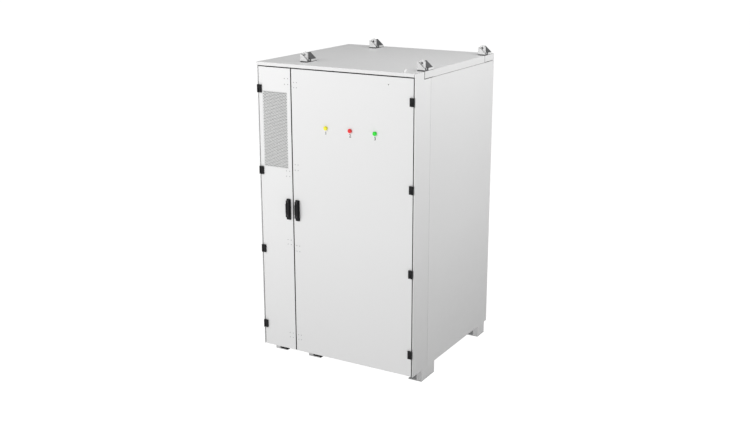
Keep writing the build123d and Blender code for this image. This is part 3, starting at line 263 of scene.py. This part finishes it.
# dark steel for the lugs' base and slope plates; the base plate's darkness is also painted shade
lug_steel_and_shade = coated("lug_steel_and_shade", (0.13, 0.132, 0.135), (0.19, 0.192, 0.195), (0.5, 0.65), 260.0, 0.0004, 0.4)
rubber = coated("black_rubber", (0.02, 0.02, 0.02), (0.035, 0.035, 0.034), (0.7, 0.85), 1500.0, 0.0001)
zinc = brushed("zinc_steel", (0.42, 0.43, 0.44), (0.58, 0.59, 0.6), (0.28, 0.42), (1.0, 1.0, 0.06))
steel = brushed("bright_steel", (0.5, 0.51, 0.52), (0.68, 0.69, 0.7), (0.2, 0.32), (1.0, 0.1, 1.0))
pack_case = coated("pack_case", (0.05, 0.053, 0.057), (0.075, 0.078, 0.083), (0.4, 0.55), 1100.0, 0.0001, 0.3)
orange = coated("orange_plastic", (0.72, 0.2, 0.015), (0.8, 0.25, 0.02), (0.35, 0.5), 1500.0, 0.00006)
hose = coated("hose_rubber", (0.015, 0.015, 0.018), (0.03, 0.03, 0.032), (0.5, 0.62), 900.0, 0.0001)
machine = coated("machine_grey", (0.07, 0.075, 0.08), (0.1, 0.105, 0.11), (0.35, 0.5), 900.0, 0.0001)
box_grey = coated("box_grey", (0.42, 0.43, 0.42), (0.48, 0.49, 0.48), (0.5, 0.62), 1600.0, 0.00007)
switch_red = coated("switch_red", (0.45, 0.02, 0.015), (0.55, 0.03, 0.02), (0.25, 0.38), 1600.0, 0.00005)
filter_mat = coated("filter_mat", (0.05, 0.055, 0.06), (0.12, 0.125, 0.13), (0.85, 0.95), 420.0, 0.0012)
coil = brushed("coil_fins", (0.3, 0.31, 0.32), (0.62, 0.63, 0.64), (0.3, 0.5), (0.2, 0.2, 14.0))
lamp_colours = {
    "lamp_yellow": (0.86, 0.8, 0.02),
    "lamp_red": (0.8, 0.003, 0.005),
    "lamp_green": (0.0, 0.72, 0.015),
}

finishes = {
    paint: "partition right_door_liner left_door_liner",
    feet_paint: "feet",
    bracket_paint: "lifting_brackets",
    frame_paint: "door_frame rod_keepers roof_frame",
    left_door_paint: "left_door_panel",
    right_door_paint: "right_door_panel",
    side_paint: "right_side_panel left_side_panel",
    rear_paint: "rear_panels",
    strip_paint: "front_strips",
    roof_paint: "roof_cap",
    breather_white: "roof_breather",
    zinc: ("base_frame floor_plate posts rack_rails fan_shroud right_rod_upper right_rod_lower "
           "left_rod_upper left_rod_lower right_lock_case left_lock_case hinge_pins"),
    steel: "lug_bolts lifting_lugs",
    dark_steel: "right_handle_spindle left_handle_spindle right_lock_barrel left_lock_barrel",
    black: ("hinge_frame_leaves right_hinge_leaves left_hinge_leaves right_handle_base left_handle_base "
            "right_handle_grip left_handle_grip lower_fan upper_fan cable_glands"),
    rubber: "lug_gaskets right_door_seal left_door_seal",
    grille_paint: "intake_grille",
    filter_mat: "intake_filter",
    pack_case: "battery_packs",
    orange: "pack_connectors busbar_links",
    hose: "coolant_pipes",
    coil: "condenser_coil",
    machine: "compressor",
    box_grey: "switch_box",
    switch_red: "main_switch",
}
for name, colour in lamp_colours.items():
    finishes[lens(name + "_lens", colour)] = name


def dress(piece, material):
    piece.data.materials.clear()
    piece.data.materials.append(material)


for material, names in finishes.items():
    for name in names.split():
        dress(nodes[name], material)


# ---------------------------------------------------------------- making pieces
def add_piece(name, mesh, material, body):
    piece = bpy.data.objects.new(name, mesh)
    bpy.context.scene.collection.objects.link(piece)
    dress(piece, material)
    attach(piece, body)
    return piece


def mesh_from(name, build):
    """Runs build on an empty bmesh and returns the mesh."""
    work = bmesh.new()
    build(work)
    bmesh.ops.recalc_face_normals(work, faces=work.faces)
    mesh = bpy.data.meshes.new(name)
    work.to_mesh(mesh)
    work.free()
    return mesh


def lathe(work, centre, profile, steps=24):
    """A closed form turned about -Y, from pairs of radius and height out of the door, in millimetres."""
    rings = []
    for radius, out in profile:
        ring = []
        for step in range(steps):
            angle = 2 * math.pi * step / steps
            offset = Vector((math.cos(angle) * radius, -out, math.sin(angle) * radius)) * MM
            ring.append(work.verts.new(centre + offset))
        rings.append(ring)
    for near, far in zip(rings, rings[1:]):
        for step in range(steps):
            after = (step + 1) % steps
            work.faces.new((near[step], near[after], far[after], far[step]))
    work.faces.new(list(reversed(rings[0])))
    work.faces.new(rings[-1])


# ---------------------------------------------------------------- intake grille, in millimetres
hole_pitch = 12.0
hole_radius = 4.15
hole_sides = 12
hole_turn = 360 // hole_sides  # degrees from one corner of a hole to the next
grille_thickness = 1.2
rim_width = 5.0
rim_thickness = 1.4
rim_stand = 0.1  # the rim stands this far before the perforated sheet
weld_distance = 0.05
grille_low, grille_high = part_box("intake_grille")


def thicken(work, faces, depth):
    """Gives flat faces a thickness backwards, in millimetres."""
    solid = bmesh.ops.extrude_face_region(work, geom=faces)
    moved = [item for item in solid["geom"] if isinstance(item, bmesh.types.BMVert)]
    bmesh.ops.translate(work, verts=moved, vec=(0, depth * MM, 0))


def perforated_sheet(work):
    """Staggered round holes: each cell is a hexagon with a twelve-sided hole."""
    width = (grille_high[0] - grille_low[0]) / MM
    height = (grille_high[2] - grille_low[2]) / MM
    row_pitch = hole_pitch * math.sqrt(3) / 2
    columns = int(width / hole_pitch)
    rows = int((height - hole_pitch) / row_pitch)
    corner = Vector((grille_low[0], grille_low[1], grille_low[2])) / MM
    start_x = corner.x + (width - (columns - 0.5) * hole_pitch) / 2
    start_z = corner.z + (height - (rows - 1) * row_pitch) / 2
    reach = hole_pitch / math.sqrt(3)
    for row in range(rows):
        for column in range(columns):
            x = start_x + (column + 0.5 * (row % 2)) * hole_pitch
            z = start_z + row * row_pitch
            outer, inner = [], []
            for step in range(hole_sides):
                angle = math.radians(hole_turn * (step + 1))
                across, up = math.cos(angle), math.sin(angle)
                length = reach if step % 2 == 0 else reach * math.cos(math.radians(hole_turn))
                for ring, radius in ((outer, length), (inner, hole_radius)):
                    point = Vector((x + radius * across, corner.y, z + radius * up))
                    ring.append(work.verts.new(point * MM))
            for step in range(hole_sides):
                after = (step + 1) % hole_sides
                work.faces.new((outer[step], outer[after], inner[after], inner[step]))
    bmesh.ops.remove_doubles(work, verts=work.verts, dist=weld_distance * MM)
    thicken(work, work.faces[:], grille_thickness)


grille_mesh = mesh_from("grille_mesh", perforated_sheet)
grille = add_piece("grille_mesh", grille_mesh, grille_paint, "left_door")
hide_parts("intake_grille")


def grille_border(work):
    """Flat rim round the perforated field."""
    loops = []
    for inset in (0.0, rim_width * MM):
        left, right = grille_low[0] + inset, grille_high[0] - inset
        bottom, top = grille_low[2] + inset, grille_high[2] - inset
        points = ((left, bottom), (right, bottom), (right, top), (left, top))
        loops.append([work.verts.new((x, grille_low[1] - rim_stand * MM, z)) for x, z in points])
    faces = []
    for step in range(4):
        after = (step + 1) % 4
        faces.append(work.faces.new((loops[0][step], loops[0][after], loops[1][after], loops[1][step])))
    thicken(work, faces, rim_thickness)


add_piece("grille_rim", mesh_from("grille_rim", grille_border), paint, "left_door")


# ---------------------------------------------------------------- lifting lugs, in millimetres
lug_low, lug_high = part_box("lifting_lugs")
lug_width, lug_depth = 60.0, 130.0
lug_base = 6.0
lug_crest = 58.0
lug_foot = 12.0
lug_wall = 5.0
lug_bay = 56.0  # the open bay ends here, behind the lug's front
lug_lip = lug_foot + 2.0
slope_high, slope_low = 7.0, 4.0  # how far the slope plate's underside lies below the crest and the foot
eye_x, eye_z = 27.0, 50.0
eye_outer, eye_inner = 21.0, 10.0
eye_depths = (16.0, 34.0)
eye_flare = 1.6  # how soon the eye plate reaches its full width below the eye
lug_corners = []
for lug_x in (lug_low[0], lug_high[0] - lug_width * MM):
    for lug_y in (lug_low[1], lug_high[1] - lug_depth * MM):
        lug_corners.append(Vector((lug_x, lug_y, lug_low[2])))


def prism(work, corner, outline, back, front, edge=0.8):
    """An (x, z) outline carried between two depths behind a corner, in millimetres, with soft edges."""
    near = [work.verts.new(corner + Vector((x, back, z)) * MM) for x, z in outline]
    far = [work.verts.new(corner + Vector((x, front, z)) * MM) for x, z in outline]
    faces = [work.faces.new(near), work.faces.new(list(reversed(far)))]
    for step in range(len(outline)):
        after = (step + 1) % len(outline)
        faces.append(work.faces.new((near[step], far[step], far[after], near[after])))
    edges = list({line for face in faces for line in face.edges})
    bmesh.ops.recalc_face_normals(work, faces=faces)
    bmesh.ops.bevel(work, geom=edges, offset=edge * MM, segments=2, affect="EDGES", profile=0.5)


def eye_plate(work, corner, steps=32):
    """An upright plate with a round top and a round eye, standing on the lug's base."""
    rings = []
    for depth in eye_depths:
        outside, inside = [], []
        for step in range(steps):
            angle = 2 * math.pi * step / steps
            across, up = math.cos(angle), math.sin(angle)
            if up >= 0:
                reach, level = across, eye_z + eye_outer * up
            else:
                reach = math.copysign(min(1.0, abs(across) * eye_flare), across)
                level = lug_base + (eye_z - lug_base) * (1 + up)
            edge = Vector((eye_x + eye_outer * reach, depth, level))
            hole = Vector((eye_x + eye_inner * across, depth, eye_z + eye_inner * up))
            outside.append(work.verts.new(corner + edge * MM))
            inside.append(work.verts.new(corner + hole * MM))
        rings.append((outside, inside))
    for step in range(steps):
        after = (step + 1) % steps
        for outside, inside in rings:
            work.faces.new((outside[step], outside[after], inside[after], inside[step]))
        for kind in (0, 1):
            first, second = rings[0][kind], rings[1][kind]
            work.faces.new((first[step], first[after], second[after], second[step]))


def lug_welded(work):
    """Left web, front cheek, eye plate and the lower lip of the slope."""
    for corner in lug_corners:
        web = [(0, lug_base), (lug_wall, lug_base), (lug_wall, lug_crest), (0, lug_crest)]
        prism(work, corner, web, 0, lug_depth)
        cheek = [(lug_wall, lug_base), (lug_width, lug_base), (lug_width, lug_foot), (lug_wall, lug_crest)]
        prism(work, corner, cheek, 0, lug_wall)
        eye_plate(work, corner)
        lip_x = lug_width - lug_wall
        lip = [(lip_x, 0), (lug_width, 0), (lug_width, lug_lip), (lip_x, lug_lip)]
        prism(work, corner, lip, lug_bay, lug_depth)


def lug_slope(work):
    """Dark steel base plate, its dark front standing in for painted shade under the cheek, and the rolled
    plate that falls from the web to the lip.
    """
    for corner in lug_corners:
        for right, back, front in ((lug_width, 0, lug_bay), (lug_width - lug_wall, lug_bay, lug_depth)):
            prism(work, corner, [(0, 0), (right, 0), (right, lug_base), (0, lug_base)], back, front)
        slope = [(lug_wall, lug_crest), (lug_width - lug_wall, lug_lip)]
        slope += [(lug_width - lug_wall, lug_foot - slope_low), (lug_wall, lug_crest - slope_high)]
        prism(work, corner, slope, lug_bay, lug_depth)


lugs = add_piece("lug_welded", mesh_from("lug_welded", lug_welded), lug_white, "cabinet")
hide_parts("lifting_lugs")
# dark steel, also painted shade: the base plate's dark front stands for the shade line under the lug's cheek
add_piece("lug_slope", mesh_from("lug_slope", lug_slope), lug_steel_and_shade, "cabinet")


# ---------------------------------------------------------------- small things on the doors
screw_profile = [(3.4, 0.0), (3.4, 0.7), (2.9, 1.5), (1.9, 2.0), (1.2, 2.1), (1.1, 1.3)]
# the columns and the pairs of rows on each door, in millimetres as in on_door
screw_groups = {
    "left_door": ((240.0, 268.0), ((2084.0, 2043.0), (1405.0, 1365.0), (878.0, 843.0), (134.0, 98.0))),
    "right_door": ((318.0, 343.0), ((2062.0, 2025.0), (1461.0, 1419.0), (843.0, 799.0), (132.0, 95.0))),
}


def screws(columns, rows):
    def build(work):
        for pair in rows:
            for z in pair:
                for x in columns:
                    lathe(work, on_door(x, z), screw_profile, 16)
    return build


for body, (columns, rows) in screw_groups.items():
    name = body + "_screws"
    add_piece(name, mesh_from(name, screws(columns, rows)), screw_steel, body)

dot_x, dot_z = 1093.0, 2104.0
dot_profile = [(3.6, 0.0), (3.6, 0.6), (2.6, 1.0), (1.0, 1.0)]
dot_mesh = mesh_from("sensor_dot", lambda work: lathe(work, on_door(dot_x, dot_z), dot_profile, 20))
add_piece("sensor_dot", dot_mesh, black, "right_door")

number_height = 32.0
number_drop = 46.0  # below the lamps' centres
number_relief = 0.1
number_swell = 0.5
number_stand = 0.15
for number, lamp_name in (("1", "lamp_yellow"), ("2", "lamp_red"), ("3", "lamp_green")):
    lamp_low, lamp_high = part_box(lamp_name)
    lamp_x = ((lamp_low[0] + lamp_high[0]) / 2 - cabinet_left) / MM
    lamp_z = ((lamp_low[2] + lamp_high[2]) / 2 - cabinet_bottom) / MM
    text = bpy.data.curves.new("number_" + number, "FONT")
    text.body = number
    text.size = number_height * MM
    text.align_x = "CENTER"
    text.extrude = number_relief * MM
    text.offset = number_swell * MM
    figure = bpy.data.objects.new("number_" + number, text)
    figure.location = on_door(lamp_x, lamp_z - number_drop, number_stand)
    figure.rotation_euler = (math.radians(90), 0, 0)
    bpy.context.scene.collection.objects.link(figure)
    dress(figure, black)
    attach(figure, "right_door")


# ---------------------------------------------------------------- studio
floor_mesh = bpy.data.meshes.new("floor")
floor_half = 120.0
floor_side = 6.0
floor_corners = [(-floor_half, -floor_half, 0), (floor_half, -floor_half, 0)]
floor_corners += [(floor_half, floor_half, 0), (-floor_half, floor_half, 0)]
floor_corners += [(x, y, floor_side) for x, y, _ in floor_corners]
floor_sides = [(step, (step + 1) % 4, (step + 1) % 4 + 4, step + 4) for step in range(4)]
floor_mesh.from_pydata(floor_corners, [], [(0, 1, 2, 3)] + floor_sides)
floor = bpy.data.objects.new("floor", floor_mesh)
bpy.context.scene.collection.objects.link(floor)
floor_material, floor_tree, floor_shader = new_material("floor_white")
floor_shader.inputs["Roughness"].default_value = 1.0
floor_shader.inputs["Specular IOR Level"].default_value = 0.0
floor_shader.inputs["Emission Color"].default_value = (1, 1, 1, 1)
floor_shader.inputs["Emission Strength"].default_value = 1.0
shade(floor_tree, floor_shader, noise(floor_tree, 0.6), (0.16, 0.16, 0.16), (0.18, 0.18, 0.18))
dress(floor, floor_material)


def area_light(name, place, target, size, power):
    light = bpy.data.lights.new(name, "AREA")
    light.shape = "RECTANGLE"
    light.size, light.size_y = size
    light.energy = power
    lamp = bpy.data.objects.new(name, light)
    lamp.location = place
    lamp.rotation_euler = (Vector(target) - Vector(place)).to_track_quat("-Z", "Y").to_euler()
    bpy.context.scene.collection.objects.link(lamp)


area_light("key_front", (-3.0, -6.2, 4.8), (0, 0, 1.4), (5.0, 3.0), 270.0)
area_light("roof_soft", (-1.3, 0.0, 6.2), (-0.2, 0, 2.3), (2.5, 2.5), 40.0)
area_light("side_fill", (2.5, 0.0, 4.6), (0.6, 0, 1.7), (0.8, 3.2), 60.0)

world_strength = 0.18
world = bpy.data.worlds.new("studio")
bpy.context.scene.world = world
world.use_nodes = True
world.node_tree.nodes["Background"].inputs["Color"].default_value = (1, 1, 1, 1)
world.node_tree.nodes["Background"].inputs["Strength"].default_value = world_strength

bpy.context.scene.view_settings.view_transform = "Standard"

camera_data = bpy.data.cameras.new("camera")
camera_data.lens = camera_lens
camera_data.sensor_width = camera_sensor
camera_data.clip_end = camera_reach
camera = bpy.data.objects.new("camera", camera_data)
camera.location = camera_place
camera.rotation_euler = camera_turn
bpy.context.scene.collection.objects.link(camera)
bpy.context.scene.camera = camera
